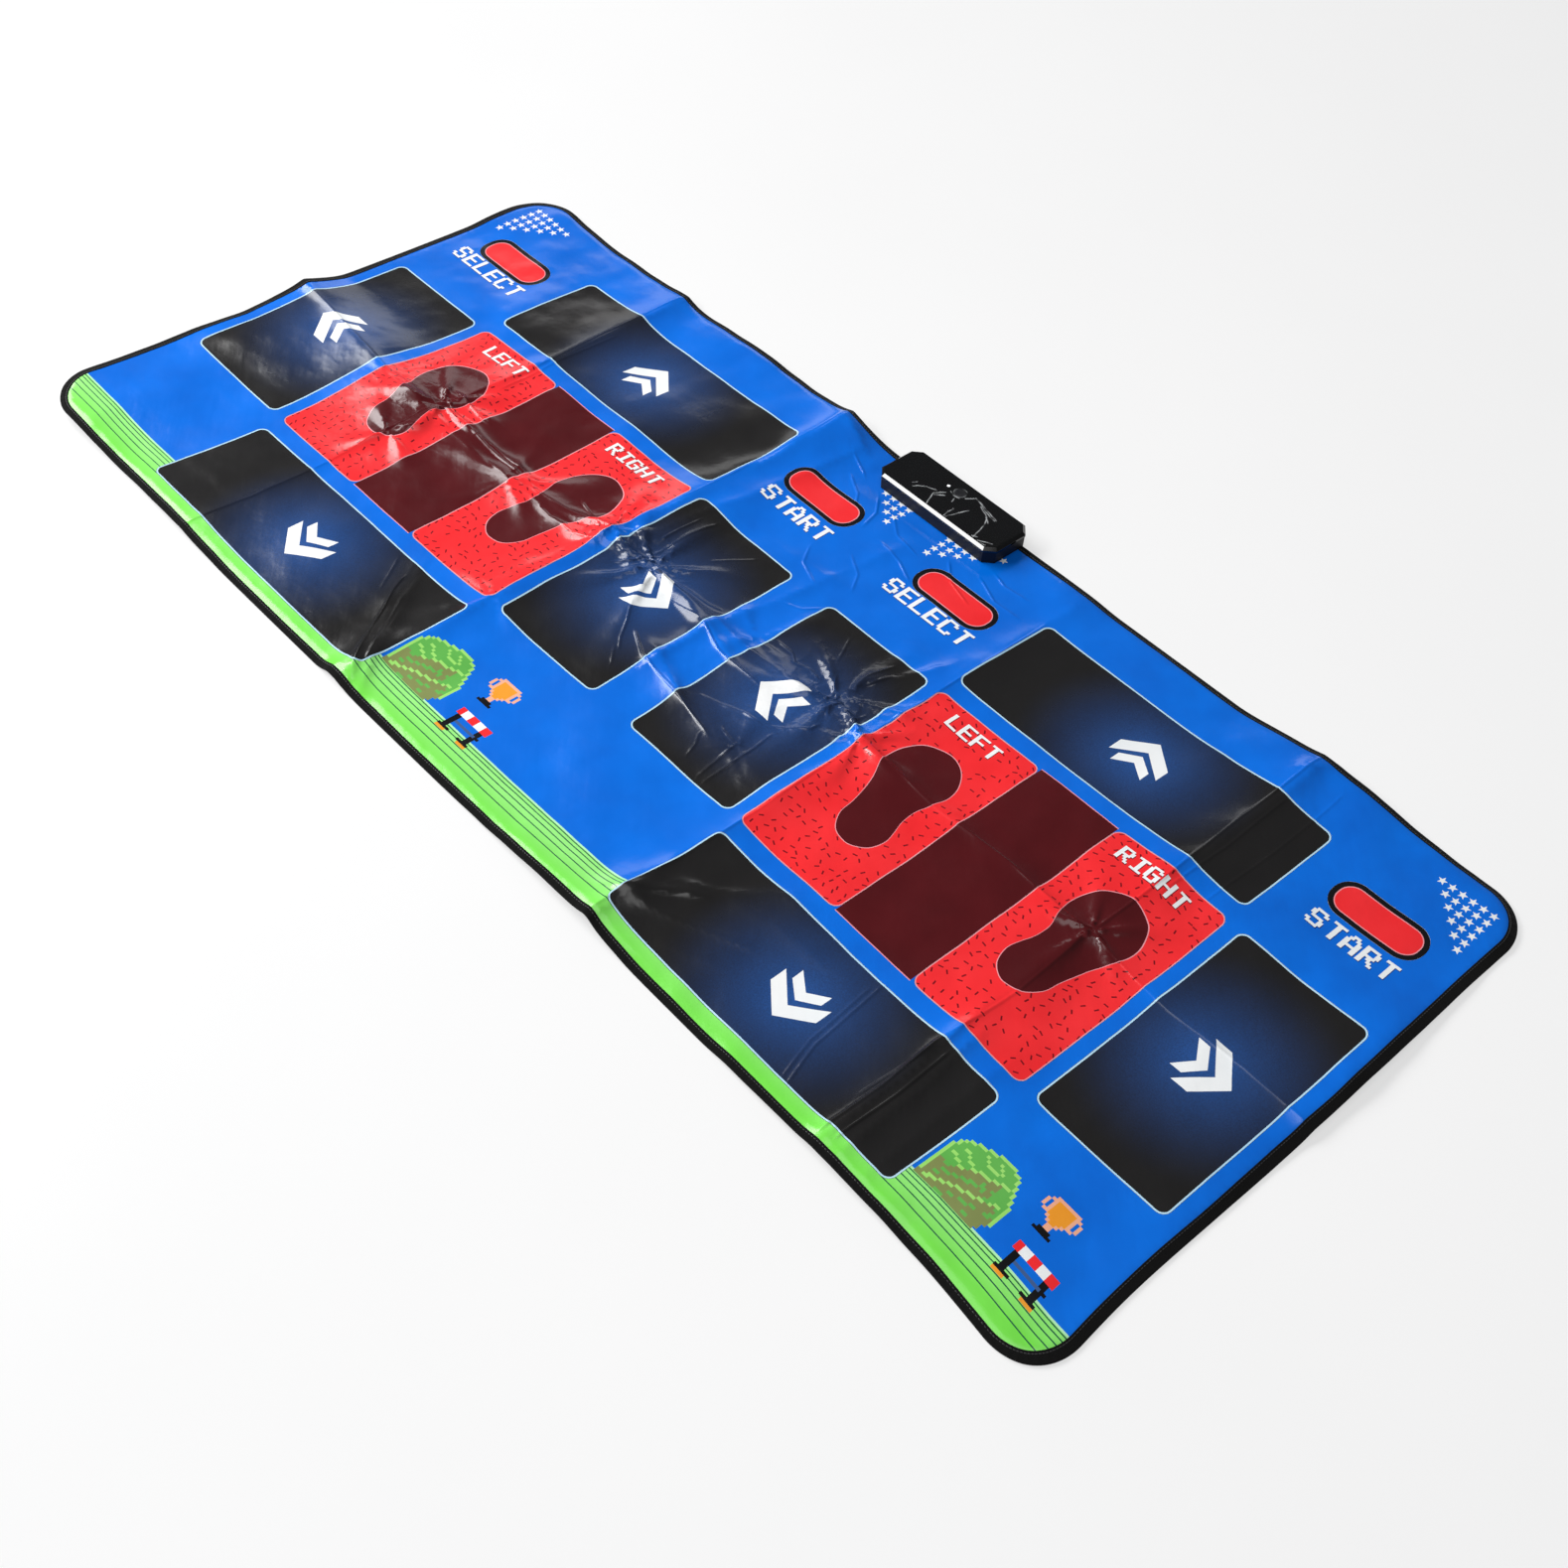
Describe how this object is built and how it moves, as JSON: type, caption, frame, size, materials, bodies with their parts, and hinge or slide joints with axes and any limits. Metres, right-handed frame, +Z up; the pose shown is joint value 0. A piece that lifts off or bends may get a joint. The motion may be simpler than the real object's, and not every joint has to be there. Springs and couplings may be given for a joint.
{
  "type": "two-player game mat",
  "caption": "Flexible two-player floor mat controller with press zones for feet and arrows, taped edge, and a battery powered control box on its back edge.",
  "frame": {"origin": "middle of the mat's flat underside, on the floor", "axes": "+X along the mat's long side, from player 1 to player 2; +Y towards the back edge with the control box; +Z up"},
  "size_m": [1.65, 0.761, 0.0281],
  "materials": {
    "blue_print": "satin",
    "black_print": "satin",
    "red_print": "satin",
    "tape_cloth": "matte",
    "backing_cloth": "matte",
    "foam": "matte",
    "contact_film": "satin",
    "black_gloss": "gloss",
    "black_plastic": "satin",
    "clear_plastic": "gloss",
    "white_plastic": "satin",
    "board_green": "satin",
    "steel": "satin",
    "cell_label": "satin"
  },
  "bodies": {
    "mat": {"nonslip_backing": "backing_cloth", "base_foam": "foam", "lower_contact_film": "contact_film", "spacer_foam": "foam", "upper_contact_film": "contact_film", "printed_sheet": "blue_print", "edge_tape": "tape_cloth", "clamp_plate": "steel", "clamp_screw_1": "steel", "clamp_screw_2": "steel", "clamp_screw_3": "steel", "clamp_screw_4": "steel", "box_housing": "black_plastic", "box_lid": "black_gloss", "lid_film": "clear_plastic", "light_pipe": "white_plastic", "indicator_diode": "white_plastic", "circuit_board": "board_green", "radio_module": "steel", "processor": "black_plastic", "key_switch": "black_plastic", "film_tail": "contact_film", "tail_socket": "white_plastic", "cell_1": "cell_label", "cell_2": "cell_label", "cell_3": "cell_label", "spring_contact": "steel", "flat_contact": "steel", "battery_spring": "steel"},
    "p1_left": {"p1_left_pad": "black_print"},
    "p1_right": {"p1_right_pad": "black_print"},
    "p1_up": {"p1_up_pad": "black_print"},
    "p1_down": {"p1_down_pad": "black_print"},
    "p1_left_foot": {"p1_left_foot_pad": "red_print"},
    "p1_right_foot": {"p1_right_foot_pad": "red_print"},
    "p1_select": {"p1_select_pad": "red_print"},
    "p1_start": {"p1_start_pad": "red_print"},
    "p2_left": {"p2_left_pad": "black_print"},
    "p2_right": {"p2_right_pad": "black_print"},
    "p2_up": {"p2_up_pad": "black_print"},
    "p2_down": {"p2_down_pad": "black_print"},
    "p2_left_foot": {"p2_left_foot_pad": "red_print"},
    "p2_right_foot": {"p2_right_foot_pad": "red_print"},
    "p2_select": {"p2_select_pad": "red_print"},
    "p2_start": {"p2_start_pad": "red_print"},
    "power": {"power_button": "black_gloss"},
    "plunger": {"switch_plunger": "white_plastic"},
    "door": {"battery_door": "black_plastic"}
  },
  "joints": [
    {"name": "p1_left_press", "type": "slide", "parent": "mat", "child": "p1_left", "axis": [0, 0, -1], "range_m": [0, 0.0014], "stiffness_N_per_m": 2000, "springref_m": -0.002},
    {"name": "p1_right_press", "type": "slide", "parent": "mat", "child": "p1_right", "axis": [0, 0, -1], "range_m": [0, 0.0014], "stiffness_N_per_m": 2000, "springref_m": -0.002},
    {"name": "p1_up_press", "type": "slide", "parent": "mat", "child": "p1_up", "axis": [0, 0, -1], "range_m": [0, 0.0014], "stiffness_N_per_m": 2000, "springref_m": -0.002},
    {"name": "p1_down_press", "type": "slide", "parent": "mat", "child": "p1_down", "axis": [0, 0, -1], "range_m": [0, 0.0014], "stiffness_N_per_m": 2000, "springref_m": -0.002},
    {"name": "p1_left_foot_press", "type": "slide", "parent": "mat", "child": "p1_left_foot", "axis": [0, 0, -1], "range_m": [0, 0.0014], "stiffness_N_per_m": 2000, "springref_m": -0.002},
    {"name": "p1_right_foot_press", "type": "slide", "parent": "mat", "child": "p1_right_foot", "axis": [0, 0, -1], "range_m": [0, 0.0014], "stiffness_N_per_m": 2000, "springref_m": -0.002},
    {"name": "p1_select_press", "type": "slide", "parent": "mat", "child": "p1_select", "axis": [0, 0, -1], "range_m": [0, 0.0014], "stiffness_N_per_m": 1000, "springref_m": -0.002},
    {"name": "p1_start_press", "type": "slide", "parent": "mat", "child": "p1_start", "axis": [0, 0, -1], "range_m": [0, 0.0014], "stiffness_N_per_m": 1000, "springref_m": -0.002},
    {"name": "p2_left_press", "type": "slide", "parent": "mat", "child": "p2_left", "axis": [0, 0, -1], "range_m": [0, 0.0014], "stiffness_N_per_m": 2000, "springref_m": -0.002},
    {"name": "p2_right_press", "type": "slide", "parent": "mat", "child": "p2_right", "axis": [0, 0, -1], "range_m": [0, 0.0014], "stiffness_N_per_m": 2000, "springref_m": -0.002},
    {"name": "p2_up_press", "type": "slide", "parent": "mat", "child": "p2_up", "axis": [0, 0, -1], "range_m": [0, 0.0014], "stiffness_N_per_m": 2000, "springref_m": -0.002},
    {"name": "p2_down_press", "type": "slide", "parent": "mat", "child": "p2_down", "axis": [0, 0, -1], "range_m": [0, 0.0014], "stiffness_N_per_m": 2000, "springref_m": -0.002},
    {"name": "p2_left_foot_press", "type": "slide", "parent": "mat", "child": "p2_left_foot", "axis": [0, 0, -1], "range_m": [0, 0.0014], "stiffness_N_per_m": 2000, "springref_m": -0.002},
    {"name": "p2_right_foot_press", "type": "slide", "parent": "mat", "child": "p2_right_foot", "axis": [0, 0, -1], "range_m": [0, 0.0014], "stiffness_N_per_m": 2000, "springref_m": -0.002},
    {"name": "p2_select_press", "type": "slide", "parent": "mat", "child": "p2_select", "axis": [0, 0, -1], "range_m": [0, 0.0014], "stiffness_N_per_m": 1000, "springref_m": -0.002},
    {"name": "p2_start_press", "type": "slide", "parent": "mat", "child": "p2_start", "axis": [0, 0, -1], "range_m": [0, 0.0014], "stiffness_N_per_m": 1000, "springref_m": -0.002},
    {"name": "power_press", "type": "slide", "parent": "mat", "child": "power", "axis": [0, 0, -1], "range_m": [0, 0.0005], "stiffness_N_per_m": 800, "springref_m": -0.001},
    {"name": "plunger_press", "type": "slide", "parent": "mat", "child": "plunger", "axis": [0, 0, -1], "range_m": [0, 0.0005]},
    {"name": "door_turn", "type": "hinge", "parent": "mat", "child": "door", "pos_m": [0, 0.384, 0.0104], "axis": [-1, 0, 0], "range_deg": [0, 90]}
  ],
  "couplings": [
    {"joint": "plunger_press", "follows": "power_press", "ratio": 1}
  ]
}
